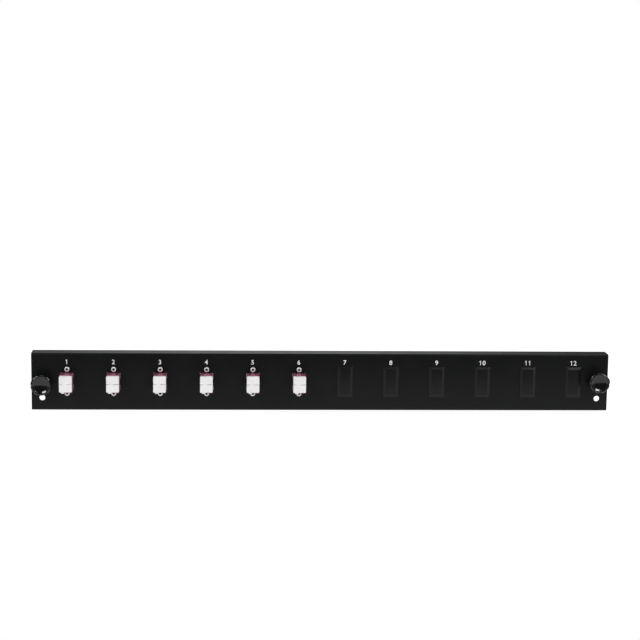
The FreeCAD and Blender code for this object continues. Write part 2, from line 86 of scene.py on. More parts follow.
def settle():
    if bpy.context.mode != "OBJECT":
        bpy.ops.object.mode_set(mode="OBJECT")
    bpy.ops.object.select_all(action="DESELECT")


def take(*pieces):
    """Selects these pieces alone, the last one active."""
    settle()
    for piece in pieces:
        piece.select_set(True)
    bpy.context.view_layer.objects.active = pieces[-1]


def open_all(piece):
    take(piece)
    bpy.ops.object.mode_set(mode="EDIT")
    bpy.ops.mesh.select_all(action="SELECT")


def pick_faces(piece, test):
    """Opens the piece with the faces whose (middle, normal) pass the test selected."""
    take(piece)
    mesh = piece.data
    for part in (mesh.vertices, mesh.edges, mesh.polygons):
        part.foreach_set("select", [False] * len(part))
    for face in mesh.polygons:
        face.select = test(face.center, face.normal)
    bpy.context.tool_settings.mesh_select_mode = (False, False, True)
    bpy.ops.object.mode_set(mode="EDIT")


def pick_edges(piece, test):
    """Opens the piece with the edges whose (middle, run) pass the test selected."""
    take(piece)
    mesh = piece.data
    for part in (mesh.vertices, mesh.edges, mesh.polygons):
        part.foreach_set("select", [False] * len(part))
    for edge in mesh.edges:
        a, b = (mesh.vertices[v].co for v in edge.vertices)
        edge.select = test((a + b) / 2, b - a)
    bpy.context.tool_settings.mesh_select_mode = (False, True, False)
    bpy.ops.object.mode_set(mode="EDIT")


def near(a, b, slack=0.01 * MM):
    return abs(a - b) < slack


# %% [markdown]
# Starting shapes: a block between two corners, a rod along the panel's depth, and a turned profile.
# Each is only a start, which the next steps cut, inset, extrude and round.

# %% Starting shapes


def block(name, low, high):
    settle()
    bpy.ops.mesh.primitive_cube_add(size=1)
    piece = bpy.context.object
    piece.name = name
    low, high = Vector(low), Vector(high)
    open_all(piece)
    bpy.ops.transform.resize(value=high - low)
    bpy.ops.transform.translate(value=(low + high) / 2)
    settle()
    return piece


def rod(name, radius, y_from, y_to, x=0, z=0, sides=48):
    settle()
    bpy.ops.mesh.primitive_cylinder_add(
        vertices=sides, radius=radius, depth=y_to - y_from,
        location=(x, (y_from + y_to) / 2, z), rotation=(math.pi / 2, 0, 0))
    piece = bpy.context.object
    piece.name = name
    bpy.ops.object.transform_apply(location=True, rotation=True, scale=True)
    return piece


def turned(name, profile, steps=96, angle=2 * math.pi, closed=True):
    """Extrudes one corner along the (radius, y) profile, and spins the line round the Y axis."""
    settle()
    bpy.ops.mesh.primitive_plane_add(size=MM)
    piece = bpy.context.object
    piece.name = name
    bpy.context.tool_settings.mesh_select_mode = (True, False, False)
    open_all(piece)
    bpy.ops.mesh.merge(type="CENTER")
    bpy.ops.transform.translate(value=(profile[0][0], profile[0][1], 0))
    for (r0, y0), (r1, y1) in zip(profile, profile[1:]):
        bpy.ops.mesh.extrude_vertices_move(
            TRANSFORM_OT_translate={"value": (r1 - r0, y1 - y0, 0)})
    if closed:
        bpy.ops.mesh.select_all(action="SELECT")
        bpy.ops.mesh.edge_face_add()
    bpy.ops.mesh.select_all(action="SELECT")
    bpy.ops.mesh.spin(steps=steps, angle=angle, center=(0, 0, 0), axis=(0, 1, 0))
    bpy.ops.mesh.select_all(action="SELECT")
    bpy.ops.mesh.remove_doubles(threshold=0.0005 * MM)
    if closed and near(angle, 2 * math.pi, 0.001):
        bpy.ops.mesh.delete_loose()
    bpy.ops.mesh.select_all(action="SELECT")
    bpy.ops.mesh.normals_make_consistent(inside=False)
    settle()
    return piece


def arc(radius, y, bend, start, end, parts=6):
    """Points of a round of that bend about (radius, y), from one angle in degrees to another."""
    points = []
    for part in range(parts + 1):
        turn = math.radians(start + (end - start) * part / parts)
        points.append((radius + bend * math.cos(turn), y + bend * math.sin(turn)))
    return points


# %% [markdown]
# Cutting, joining and copying. A hole is made by subtracting a tool shape, as on a punch press.
# A copy is moved in its own mesh, so each piece's object stays at the origin.

# %% Cutting, joining and copying


def combine(piece, tool, operation):
    take(piece)
    step = piece.modifiers.new("shape", "BOOLEAN")
    step.operation = operation
    step.solver = "EXACT"
    step.object = tool
    bpy.ops.object.modifier_apply(modifier=step.name)
    take(tool)
    bpy.ops.object.delete()
    return piece


def cut(piece, tool):
    return combine(piece, tool, "DIFFERENCE")


def weld(piece, tool):
    return combine(piece, tool, "UNION")


def join(name, pieces):
    take(*pieces)
    bpy.ops.object.join()
    joined = bpy.context.object
    joined.name = name
    return joined


def copy_to(piece, name, offset):
    take(piece)
    bpy.ops.object.duplicate_move(TRANSFORM_OT_translate={"value": Vector(offset)})
    twin = bpy.context.object
    twin.name = name
    bpy.ops.object.transform_apply(location=True, rotation=False, scale=False)
    return twin


def drop(piece):
    take(piece)
    bpy.ops.object.delete()


SMOOTH_ANGLE = math.radians(32)


def soften(piece, width, segments, angle):
    """Rounds every edge sharper than the angle, and lets light run smoothly over the rounds."""
    take(piece)
    step = piece.modifiers.new("edges", "BEVEL")
    step.width = width
    step.segments = segments
    step.limit_method = "ANGLE"
    step.angle_limit = math.radians(angle)
    step.use_clamp_overlap = True
    step.miter_outer = "MITER_ARC"
    bpy.ops.object.modifier_apply(modifier=step.name)
    bpy.ops.object.shade_smooth_by_angle(angle=SMOOTH_ANGLE)
    flat = piece.modifiers.new("flat faces stay flat", "WEIGHTED_NORMAL")
    flat.mode = "FACE_AREA"
    flat.keep_sharp = True
    bpy.ops.object.modifier_apply(modifier=flat.name)
    return piece


def corners(piece):
    """The lowest and the highest corner of a piece that stands at the origin."""
    places = [v.co for v in piece.data.vertices]
    return (Vector([min(p[i] for p in places) for i in range(3)]),
            Vector([max(p[i] for p in places) for i in range(3)]))


def triangles(piece):
    return sum(len(face.vertices) - 2 for face in piece.data.polygons)


# %% [markdown]
# ## Finishes
#
# Every finish is a small node tree on Object coordinates, so its grain has a real size in metres
# and never slides. A fine noise gives the bump, and a broad one, forty times as wide, makes the
# gloss and the colour a little uneven. The powder coat is a sprayed skin, black and half matt, with
# an orange-peel texture about a third of a millimetre across.

# %% A helper for finishes
BROAD_TO_FINE = 40


def grained(name, colour, roughness, grain, depth, spread=0.06, tint=0.12, metallic=0.0,
            specular=0.5):
    """A surface with a fine grain: bump, a little unevenness in gloss, and a little in colour."""
    finish = bpy.data.materials.new(name)
    finish.use_nodes = True
    tree = finish.node_tree
    skin = tree.nodes["Principled BSDF"]
    skin.inputs["Metallic"].default_value = metallic
    skin.inputs["Specular IOR Level"].default_value = specular
    place = tree.nodes.new("ShaderNodeTexCoord")
    fine = tree.nodes.new("ShaderNodeTexNoise")
    fine.inputs["Scale"].default_value = 1 / grain
    fine.inputs["Detail"].default_value = 3
    broad = tree.nodes.new("ShaderNodeTexNoise")
    broad.inputs["Scale"].default_value = 1 / (BROAD_TO_FINE * grain)
    for noise in (fine, broad):
        tree.links.new(place.outputs["Object"], noise.inputs["Vector"])
    gloss = tree.nodes.new("ShaderNodeMapRange")
    gloss.inputs["To Min"].default_value = roughness - spread
    gloss.inputs["To Max"].default_value = roughness + spread
    tree.links.new(broad.outputs["Fac"], gloss.inputs["Value"])
    tree.links.new(gloss.outputs["Result"], skin.inputs["Roughness"])
    shade = tree.nodes.new("ShaderNodeMix")
    shade.data_type = "RGBA"
    shade.inputs["A"].default_value = [c * (1 - tint) for c in colour] + [1]
    shade.inputs["B"].default_value = [min(c * (1 + tint), 1) for c in colour] + [1]
    tree.links.new(broad.outputs["Fac"], shade.inputs["Factor"])
    tree.links.new(shade.outputs["Result"], skin.inputs["Base Color"])
    bump = tree.nodes.new("ShaderNodeBump")
    bump.inputs["Strength"].default_value = 1.0
    bump.inputs["Distance"].default_value = depth
    tree.links.new(fine.outputs["Fac"], bump.inputs["Height"])
    tree.links.new(bump.outputs["Normal"], skin.inputs["Normal"])
    return finish


# %% The finishes of this panel
powder_coat = grained("powder_coat", (0.0043, 0.0046, 0.0050), roughness=0.34,
                      grain=0.35 * MM, depth=0.004 * MM, specular=0.18)
violet_moulding = grained("violet_moulding", (0.27, 0.062, 0.105), roughness=0.22,
                          grain=0.12 * MM, depth=0.0008 * MM, spread=0.03)
white_moulding = grained("white_moulding", (0.86, 0.845, 0.85), roughness=0.45,
                         grain=0.12 * MM, depth=0.002 * MM, tint=0.03)
black_moulding = grained("black_moulding", (0.0042, 0.0042, 0.0050), roughness=0.24,
                         grain=0.16 * MM, depth=0.0012 * MM, spread=0.03, specular=0.24)
polished_black = grained("polished_black", (0.0022, 0.0022, 0.0027), roughness=0.10,
                         grain=0.5 * MM, depth=0.0006 * MM, spread=0.03, specular=0.54)
spring_steel = grained("spring_steel", (0.60, 0.59, 0.58), roughness=0.16,
                       grain=0.10 * MM, depth=0.0005 * MM, spread=0.03, metallic=1.0)
plated_screw = grained("plated_screw", (0.84, 0.84, 0.82), roughness=0.34,
                       grain=0.10 * MM, depth=0.001 * MM, metallic=0.45)
# Painted shade: a near-black colour for the faces of the cross recess, in place of the shadow that
# falls in it.
recess_painted_shade = grained("recess_painted_shade", (0.030, 0.034, 0.031), roughness=0.50,
                       grain=0.10 * MM, depth=0.001 * MM)
ground_ceramic = grained("ground_ceramic", (0.82, 0.81, 0.77), roughness=0.25,
                         grain=0.08 * MM, depth=0.001 * MM, tint=0.03)
white_ink = grained("white_ink", (0.90, 0.90, 0.90), roughness=0.50,
                    grain=0.10 * MM, depth=0.001 * MM, tint=0.03)
print(len(bpy.data.materials), "materials")


def dress(piece, finish, body, slot, *nodes):
    """Gives a finished piece its material, its body and the nodes that it stands for. The slot is
    not used.
    """
    if finish not in list(piece.data.materials):
        piece.data.materials.clear()
        piece.data.materials.append(finish)
    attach(piece, body)
    if nodes:
        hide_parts(*nodes)
    print("%-20s %6d triangles" % (piece.name, triangles(piece)))
    return piece


# %% [markdown]
# ## The front plate
#
# The real plate is one sheet of 1.5 mm steel, folded back along its top and bottom. It could be
# drawn as a solid channel, but folding is how it is made: an open sheet is bent by rounding its two
# long front edges, and then gets its thickness inwards. The holes are punched afterwards.

# %% Fold the sheet
SHEET = 1.5 * MM
OUTER_BEND = 1.4 * MM
plate = block("panel_plate", plate_low, plate_high)
pick_faces(plate, lambda middle, normal: normal.y > 0.5 or abs(normal.x) > 0.5)
bpy.ops.mesh.delete(type="FACE")
pick_edges(plate, lambda middle, run: near(middle.y, PLATE_FRONT) and abs(run.x) > 0.1)
bpy.ops.mesh.bevel(offset=OUTER_BEND, offset_type="OFFSET", segments=8, affect="EDGES")
take(plate)
fold = plate.modifiers.new("sheet", "SOLIDIFY")
fold.thickness = SHEET
fold.offset = -1
fold.use_even_offset = True
bpy.ops.object.modifier_apply(modifier=fold.name)
print("folded sheet:", triangles(plate), "triangles")

# %% [markdown]
# The punch tools: a rectangle with rounded corners for each port, a small round above and below it,
# and a large and a small round at each end. They are placed first and then cut all at once.

# %% Punch the holes
OPENING = (9.5 * MM, 13.2 * MM)
OPENING_ROUND = 0.3 * MM
SCREW_RISE = 9.0 * MM
SCREW_HOLE = 1.2 * MM
LATCH_HOLE = 3.6 * MM
FIXING_HOLE = 2.15 * MM
FIXING_Z = -12.05 * MM
latch_at = {side: middle_of("latch_knob_" + side) for side in ("left", "right")}
PUNCH = (PLATE_FRONT - 2 * MM, 2 * MM)

first = port_x[1]
tool = block("port_punch", (first - OPENING[0] / 2, PUNCH[0], PORT_Z - OPENING[1] / 2),
             (first + OPENING[0] / 2, PUNCH[1], PORT_Z + OPENING[1] / 2))
pick_edges(tool, lambda middle, run: abs(run.y) > MM)
bpy.ops.mesh.bevel(offset=OPENING_ROUND, segments=3, affect="EDGES")
settle()
screw_punch = rod("screw_punch", SCREW_HOLE, *PUNCH, x=first, z=PORT_Z + SCREW_RISE, sides=32)
lower_punch = copy_to(screw_punch, "lower_punch", (0, 0, -2 * SCREW_RISE))
tool = join("port_punch", [screw_punch, lower_punch, tool])
punches = [tool]
for n in range(2, 13):
    punches.append(copy_to(tool, "port_punch_%d" % n, (port_x[n] - first, 0, 0)))
for side, at in latch_at.items():
    punches.append(rod("latch_punch_" + side, LATCH_HOLE, *PUNCH, x=at.x, z=at.z, sides=64))
    punches.append(rod("fixing_punch_" + side, FIXING_HOLE, *PUNCH, x=at.x, z=FIXING_Z, sides=48))
cut(plate, join("punches", punches))
print("punched plate:", triangles(plate), "triangles")

# %% [markdown]
# Every cut edge has lost its sharpness under the coat: a bevel of a tenth of a millimetre gives the
# thin light line that a coated edge shows.

# %% Round the edges
soften(plate, 0.12 * MM, 2, 40)
dress(plate, powder_coat, "panel", "panel_black", "front_plate")

# %% [markdown]
# ## The port numbers
#
# The numbers are screen printed in white above each port. Each figure is made once, with the
# thickness of an ink film, and laid on the coat where it belongs. The built-in face has a bare
# stroke for its one, so that figure is drawn from two bars.

# %% Cut the digits
INK, INK_LIFT = 0.03 * MM, 0.005 * MM
DIGIT_HEIGHT, DIGIT_PITCH = 3.4 * MM, 2.7 * MM
DIGIT_Z = 14.78 * MM
DIGIT_SHIFT = -0.25 * MM
TYPE_SIZE, STROKE_GROWTH = 5.0 * MM, 0.045 * MM
STEM_SIDES = (-0.08 * MM, 0.34 * MM)
FLAG_SIDES, FLAG_ENDS, FLAG_FALL = (-0.80 * MM, 0.00 * MM), (1.20 * MM, 1.69 * MM), 0.62 * MM


def stroke(name, low, high, fall=0.0):
    """A straight bar of ink; its left end can fall, which makes it slope."""
    bar = block(name, (low[0], -INK / 2, low[1]), (high[0], INK / 2, high[1]))
    pick_faces(bar, lambda middle, normal: normal.x < -0.5)
    bpy.ops.transform.translate(value=(0, 0, -fall))
    settle()
    return bar


def figure_one():
    """A one as in the usual sans-serif faces: a stem, and a short bar that falls away."""
    stem = stroke("stem", (STEM_SIDES[0], -DIGIT_HEIGHT / 2), (STEM_SIDES[1], DIGIT_HEIGHT / 2))
    flag = stroke("flag", (FLAG_SIDES[0], FLAG_ENDS[0]), (FLAG_SIDES[1], FLAG_ENDS[1]), FLAG_FALL)
    return join("one", [flag, stem])


def other_figure(digit):
    """A figure from the built-in face, thickened a little and stretched to the same height."""
    settle()
    bpy.ops.object.text_add(rotation=(math.pi / 2, 0, 0))
    figure = bpy.context.object
    figure.data.body = digit
    figure.data.size = TYPE_SIZE
    figure.data.extrude = INK / 2
    figure.data.offset = STROKE_GROWTH
    figure.data.resolution_u = 6
    bpy.ops.object.convert(target="MESH")
    bpy.ops.object.transform_apply(location=True, rotation=True, scale=True)
    open_all(figure)
    bpy.ops.mesh.remove_doubles(threshold=0.0001 * MM)
    settle()
    low, high = corners(figure)
    size = DIGIT_HEIGHT / (high.z - low.z)
    open_all(figure)
    bpy.ops.transform.translate(value=-(low + high) / 2)
    bpy.ops.transform.resize(value=(size, 1, size), center_override=(0, 0, 0))
    settle()
    return figure


figures = {}
for digit in "1234567890":
    figures[digit] = figure_one() if digit == "1" else other_figure(digit)
    low, high = corners(figures[digit])
    print(digit, "is %.1f mm wide" % ((high.x - low.x) / MM))

# %% Print the numbers
for n in port_x:
    text = str(n)
    signs = []
    for place, digit in enumerate(text):
        shift = (place - (len(text) - 1) / 2) * DIGIT_PITCH
        spot = (port_x[n] + DIGIT_SHIFT + shift, PLATE_FRONT - INK / 2 - INK_LIFT, DIGIT_Z)
        signs.append(copy_to(figures[digit], "sign", spot))
    number = join("port_number_%d" % n, signs)
    dress(number, white_ink, "panel", "cap_white")
for figure in figures.values():
    drop(figure)

# %% [markdown]
# ## Screws and nuts
#
# Each adapter has two small pan-head screws with a cross recess. The head is turned from its
# profile, a cross is sunk in it with a tool whose arms taper to the bottom, and the shank gets the
# crests of its thread where it shows behind the nut. The faces of the recess get painted shade, a
# near-black colour of their own in place of the shadow there, because the photo shows each head as
# a pale ring round a dark centre.

# %% Turn a screw
HEAD_RADIUS, HEAD_HEIGHT, HEAD_FLAT, HEAD_EDGE = 1.8 * MM, 1.3 * MM, 0.6 * MM, 0.12 * MM
DOME_AT, DOME_BEND = (1.35 * MM, -0.85 * MM), 0.45 * MM
SHANK, THREAD_PITCH, THREAD_DEPTH = 1.0 * MM, 0.4 * MM, 0.16 * MM
THREAD_FROM, THREAD_END, TIP_CHAMFER = 3.3 * MM, 0.3 * MM, 0.35 * MM
profile = [(0, -HEAD_HEIGHT), (HEAD_FLAT, -HEAD_HEIGHT)] + arc(*DOME_AT, DOME_BEND, -90, 0, 8) + [
    (HEAD_RADIUS, -HEAD_EDGE), (HEAD_RADIUS - HEAD_EDGE, 0), (SHANK, 0)]
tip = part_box("adapter_screws")[1].y - PLATE_FRONT
y = THREAD_FROM
profile.append((SHANK, y))
while y + THREAD_PITCH < tip - THREAD_END:
    profile += [(SHANK - THREAD_DEPTH, y + THREAD_PITCH / 2), (SHANK, y + THREAD_PITCH)]
    y += THREAD_PITCH
profile += [(SHANK - TIP_CHAMFER, tip), (0, tip)]
screw = turned("adapter_screw", profile, steps=40, closed=False)
print("turned screw:", triangles(screw), "triangles")

# %% Sink the cross and paint shade into its recess
CROSS_LONG, CROSS_SHORT, CROSS_START, CROSS_DEPTH = 1.05 * MM, 0.55 * MM, 0.3 * MM, 0.75 * MM
LONG_TAPER, SHORT_TAPER = 0.45, 0.8
RECESS_FROM, RECESS_TO, RECESS_RADIUS = -HEAD_HEIGHT + 0.03 * MM, -0.2 * MM, 1.15 * MM
arms = []
for wide, high in ((CROSS_LONG, CROSS_SHORT), (CROSS_SHORT, CROSS_LONG)):
    arm = block("cross_arm", (-wide, -HEAD_HEIGHT - CROSS_START, -high),
                (wide, -HEAD_HEIGHT + CROSS_DEPTH, high))
    pick_faces(arm, lambda middle, normal: normal.y > 0.5)
    taper = (LONG_TAPER, 1, SHORT_TAPER) if wide > high else (SHORT_TAPER, 1, LONG_TAPER)
    bpy.ops.transform.resize(value=taper)
    settle()
    arms.append(arm)
cut(screw, weld(arms[0], arms[1]))
take(screw)
bpy.ops.object.shade_smooth_by_angle(angle=SMOOTH_ANGLE)
# The second slot is the painted shade, given to the faces inside the recess.
for finish in (plated_screw, recess_painted_shade):
    screw.data.materials.append(finish)
pick_faces(screw, lambda middle, normal: RECESS_FROM < middle.y < RECESS_TO
           and math.hypot(middle.x, middle.z) < RECESS_RADIUS)
screw.active_material_index = 1
bpy.ops.object.material_slot_assign()
settle()
print("one screw:", triangles(screw), "triangles")

# %% Set the screws
screw_places = [(port_x[n], PLATE_FRONT, PORT_Z + way * SCREW_RISE)
                for n in ADAPTERS for way in (1, -1)]
screws = [copy_to(screw, "set_screw", place) for place in screw_places]
drop(screw)
screws = join("adapter_screw_set", screws)
dress(screws, plated_screw, "panel", "screw_steel", "adapter_screws")

# %% [markdown]
# A nut starts as a six-sided prism. Its corners are turned off at both ends, which is done here by
# keeping only what a chamfered disc has in common with it, and then it is bored.

# %% Make and set the nuts
NUT_WIDTH, NUT_HEIGHT, NUT_CHAMFER, NUT_PLAY = 4.0 * MM, 1.6 * MM, 0.18 * MM, 0.05 * MM
NUT_CORNER, NUT_FACE = NUT_WIDTH / math.sqrt(3), NUT_WIDTH / 2
nut_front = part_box("adapter_nuts")[0].y
nut = rod("adapter_nut", NUT_CORNER, 0, NUT_HEIGHT, sides=6)
disc = turned("nut_disc", [
    (0, 0), (NUT_FACE, 0), (NUT_CORNER, NUT_CHAMFER), (NUT_CORNER, NUT_HEIGHT - NUT_CHAMFER),
    (NUT_FACE, NUT_HEIGHT), (0, NUT_HEIGHT)], steps=48, closed=False)
combine(nut, disc, "INTERSECT")
cut(nut, rod("nut_bore", SHANK + NUT_PLAY, -MM, NUT_HEIGHT + MM, sides=32))
soften(nut, 0.06 * MM, 1, 50)
nuts = [copy_to(nut, "set_nut", (x, nut_front, z)) for x, _, z in screw_places]
drop(nut)
nuts = join("adapter_nut_set", nuts)
dress(nuts, plated_screw, "panel", "screw_steel", "adapter_nuts")

# %% [markdown]
# ## The adapter housing
#
# A duplex housing is one violet moulding. Its body passes through the plate, its flange lies
# behind the plate, and each end has two square ports with a way for the plug's latch. In the
# middle of each port stands a tube that holds a ceramic sleeve. The body is a block with rounded
# long edges; the ports are cut by a tool that is hollow where the tube stays.

# %% Mould the body and its flange
house_low, house_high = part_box("adapter_1")
HALF_WIDTH = (house_high.x - house_low.x) / 2
HALF_HEIGHT = 6.5 * MM
FLANGE = 2.0 * MM
HOUSE_ROUND, FLANGE_ROUND = 0.35 * MM, 1.0 * MM
house = block("housing", (-HALF_WIDTH, house_low.y, -HALF_HEIGHT),
              (HALF_WIDTH, house_high.y, HALF_HEIGHT))
pick_edges(house, lambda middle, run: abs(run.y) > MM)
bpy.ops.mesh.bevel(offset=HOUSE_ROUND, segments=3, affect="EDGES")
settle()
flange = block("flange", (-HALF_WIDTH, 0, house_low.z - PORT_Z),
               (HALF_WIDTH, FLANGE, house_high.z - PORT_Z))
pick_edges(flange, lambda middle, run: abs(run.y) > MM)
bpy.ops.mesh.bevel(offset=FLANGE_ROUND, segments=6, affect="EDGES")
settle()
for way in (1, -1):
    cut(flange, rod("flange_hole", SCREW_HOLE, -MM, FLANGE + MM, z=way * SCREW_RISE, sides=32))
weld(house, flange)
print("housing:", triangles(house), "triangles")

# %% [markdown]
# The clip lies in a shallow seat round the body, so that its outside is flush with the moulding.

# %% Cut the clip's seat
clip_low, clip_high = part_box("adapter_clip_1")
SPRING = 0.3 * MM
CLIP_PLAY = 0.05 * MM
seat_from, seat_to = clip_low.y - CLIP_PLAY, clip_high.y + CLIP_PLAY
seat = block("seat", (-2 * HALF_WIDTH, seat_from, -2 * HALF_HEIGHT),
             (2 * HALF_WIDTH, seat_to, 2 * HALF_HEIGHT))
core = block("core", (-HALF_WIDTH + SPRING, seat_from - MM, -HALF_HEIGHT + SPRING),
             (HALF_WIDTH - SPRING, seat_to + MM, HALF_HEIGHT - SPRING))
cut(house, cut(seat, core))
print("seat from y = %.2f to %.2f mm" % (seat_from / MM, seat_to / MM))

# %% [markdown]
# The port tool is one outline pushed in from each end: a square and a smaller block for the latch
# way, less a round rod, so that the sleeve holder is left standing.

# %% Cut the ports
PORT_HALF, PORT_WALL, PORT_RISE = 2.3 * MM, 1.0 * MM, 3.125 * MM
PORT_X = PORT_WALL + PORT_HALF - HALF_WIDTH
WAY_HALF = 1.5 * MM
MIDDLE_WALL = 1.5 * MM
HOLDER, HOLDER_LENGTH = 1.45 * MM, 4.0 * MM
CENTRE_Y = (house_low.y + house_high.y) / 2
for end in (-1, 1):
    mouth = house_low.y - MM if end < 0 else house_high.y + MM
    floor = CENTRE_Y + end * MIDDLE_WALL / 2
    tip = floor + end * HOLDER_LENGTH
    y_low, y_high = min(mouth, floor), max(mouth, floor)
    stub_low, stub_high = min(floor, tip) - MM * (end > 0), max(floor, tip) + MM * (end < 0)
    for way in (1, -1):
        z = way * PORT_RISE
        square = block("port_tool", (PORT_X - PORT_HALF, y_low, z - PORT_HALF),
                       (PORT_X + PORT_HALF, y_high, z + PORT_HALF))
        weld(square, block("way_tool", (PORT_X, y_low, z - WAY_HALF),
                           (HALF_WIDTH - PORT_WALL, y_high, z + WAY_HALF)))
        cut(square, rod("holder", HOLDER, stub_low, stub_high, PORT_X, z, 40))
        cut(house, square)
print("housing with ports:", triangles(house), "triangles")

# %% Bore the chambers for the sleeves
MOUTH, MOUTH_REACH, CHAMBER = 0.675 * MM, 6 * MM, 0.85 * MM
SLEEVE_LENGTH, SLEEVE_PLAY = 6.8 * MM, 0.1 * MM
half = SLEEVE_LENGTH / 2 + SLEEVE_PLAY
for way in (1, -1):
    z = way * PORT_RISE
    cut(house, rod("mouth_tool", MOUTH, CENTRE_Y - MOUTH_REACH, CENTRE_Y + MOUTH_REACH,
                   PORT_X, z, 32))
    cut(house, rod("chamber_tool", CHAMBER, CENTRE_Y - half, CENTRE_Y + half, PORT_X, z, 32))
soften(house, 0.10 * MM, 2, 40)
print("housing with chambers:", triangles(house), "triangles")

# %% Set the six housings
for n in ADAPTERS:
    copy = copy_to(house, "adapter_housing_%d" % n, (port_x[n], 0, PORT_Z))
    dress(copy, violet_moulding, "panel", "housing_violet", "adapter_%d" % n)
drop(house)

# %% [markdown]
# The split sleeves are ceramic tubes with one slit along them. A small rectangle is spun by nearly
# a full turn: what is missing at the end of the turn is the slit.

# %% Spin the sleeves
SLEEVE_OUT, SLEEVE_IN, SLIT = 0.8 * MM, 0.625 * MM, 0.3 * MM
gap_angle = 2 * math.asin(SLIT / 2 / SLEEVE_IN)
ring = [(SLEEVE_IN, -SLEEVE_LENGTH / 2), (SLEEVE_OUT, -SLEEVE_LENGTH / 2),
        (SLEEVE_OUT, SLEEVE_LENGTH / 2), (SLEEVE_IN, SLEEVE_LENGTH / 2)]
sleeve = turned("sleeve", ring, steps=40, angle=2 * math.pi - gap_angle)
open_all(sleeve)
bpy.ops.transform.rotate(value=gap_angle / 2, orient_axis="Y", center_override=(0, 0, 0))
settle()
soften(sleeve, 0.04 * MM, 1, 60)
for n in ADAPTERS:
    for level, way in (("upper", 1), ("lower", -1)):
        place = (port_x[n] + PORT_X, CENTRE_Y, PORT_Z + way * PORT_RISE)
        copy = copy_to(sleeve, "ceramic_%s_%d" % (level, n), place)
        dress(copy, ground_ceramic, "panel", "sleeve_white", "%s_sleeve_%d" % (level, n))
drop(sleeve)

# %% [markdown]
# ## The spring clip
#
# A strip of spring steel is bent round the body and springs open at the top, where its two ends
# stand up. Here it starts as a block with rounded edges, which is hollowed to the thickness of the
# strip and opened at the top. Each flank then gets a window with a sprung leaf.

# %% Bend the clip
clip = block("spring_clip", (-HALF_WIDTH, clip_low.y, -HALF_HEIGHT),
             (HALF_WIDTH, clip_high.y, HALF_HEIGHT))
pick_edges(clip, lambda middle, run: abs(run.y) > MM)
bpy.ops.mesh.bevel(offset=HOUSE_ROUND, segments=4, affect="EDGES")
settle()
hollow = block("hollow", (-HALF_WIDTH + SPRING, clip_low.y - MM, -HALF_HEIGHT + SPRING),
               (HALF_WIDTH - SPRING, clip_high.y + MM, HALF_HEIGHT - SPRING))
cut(clip, hollow)
GAP = 1.1 * MM
cut(clip, block("gap", (-GAP, clip_low.y - MM, 0), (GAP, clip_high.y + MM, 2 * HALF_HEIGHT)))
LEAF_HALF, RAIL, LEAF_OVERLAP = 2.5 * MM, 0.45 * MM, 0.05 * MM
window = block("window", (-2 * HALF_WIDTH, clip_low.y + RAIL, -LEAF_HALF - SPRING),
               (2 * HALF_WIDTH, clip_high.y - RAIL, LEAF_HALF + SPRING))
cut(clip, window)
LIP = clip_high.z - PORT_Z
for way in (1, -1):
    x0, x1 = sorted((way * GAP, way * (GAP + SPRING)))
    stand = block("stand", (x0, clip_low.y, HALF_HEIGHT - SPRING), (x1, clip_high.y, LIP))
    weld(clip, stand)
    x0, x1 = sorted((way * HALF_WIDTH, way * (HALF_WIDTH - SPRING)))
    leaf = block("leaf", (x0, clip_low.y + RAIL - LEAF_OVERLAP, -LEAF_HALF),
                 (x1, clip_high.y - RAIL, LEAF_HALF))
    pick_faces(leaf, lambda middle, normal: normal.y > 0.5)
    bpy.ops.transform.translate(value=(way * (clip_high.x - clip_low.x - 2 * HALF_WIDTH) / 2, 0, 0))
    settle()
    weld(clip, leaf)
soften(clip, 0.05 * MM, 1, 40)
for n in ADAPTERS:
    copy = copy_to(clip, "spring_clip_%d" % n, (port_x[n], 0, PORT_Z))
    dress(copy, spring_steel, "panel", "clip_steel", "adapter_clip_%d" % n)
drop(clip)

# %% [markdown]
# ## The dust caps
#
# A white cap closes both ports of an end with one head and two hollow stems. The head has a slit in
# from each side, the right one longer, and a small tab left of the middle to pull it by, as in the
# photo. The front and the rear cap are the same moulding; the rear one is turned half a turn about
# the panel's long axis.

# %% Mould one cap
cap_low, cap_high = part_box("front_cap_1")
CAP_DEPTH, CAP_ROUND = 3.8 * MM, 0.6 * MM
TAB_SIDES, TAB_DROP, TAB = (-3.2 * MM, -0.8 * MM), 0.9 * MM, 1.0 * MM
TAB_SETBACK, TAB_ROUND = 0.3 * MM, 0.25 * MM
SLIT_REACH = {1: 3.9 * MM, -1: 2.0 * MM}
SLIT_HALF, SLIT_RISE = 0.175 * MM, 0.5 * MM
CAP_HALF = (cap_high.x - cap_low.x) / 2
CAP_TOP = cap_high.z - PORT_Z
CAP_BOTTOM = cap_low.z - PORT_Z + TAB_DROP
cap_head = block("dust_cap", (-CAP_HALF, -CAP_DEPTH, CAP_BOTTOM), (CAP_HALF, 0, CAP_TOP))
pick_edges(cap_head, lambda middle, run: abs(run.y) > MM)
bpy.ops.mesh.bevel(offset=CAP_ROUND, segments=4, affect="EDGES")
settle()
for way, reach in SLIT_REACH.items():
    x0, x1 = sorted((way * (CAP_HALF - reach), way * 2 * CAP_HALF))
    cut(cap_head, block("slit", (x0, -CAP_DEPTH - MM, SLIT_RISE - SLIT_HALF),
                        (x1, MM, SLIT_RISE + SLIT_HALF)))
tab_front = -CAP_DEPTH + TAB_SETBACK
tab = block("tab", (TAB_SIDES[0], tab_front, CAP_BOTTOM - TAB_DROP),
            (TAB_SIDES[1], tab_front + TAB, CAP_BOTTOM + TAB_DROP))
pick_edges(tab, lambda middle, run: abs(run.y) > 0.5 * MM and middle.z < CAP_BOTTOM)
bpy.ops.mesh.bevel(offset=TAB_ROUND, segments=4, affect="EDGES")
settle()
weld(cap_head, tab)
print("head of the cap:", triangles(cap_head), "triangles")

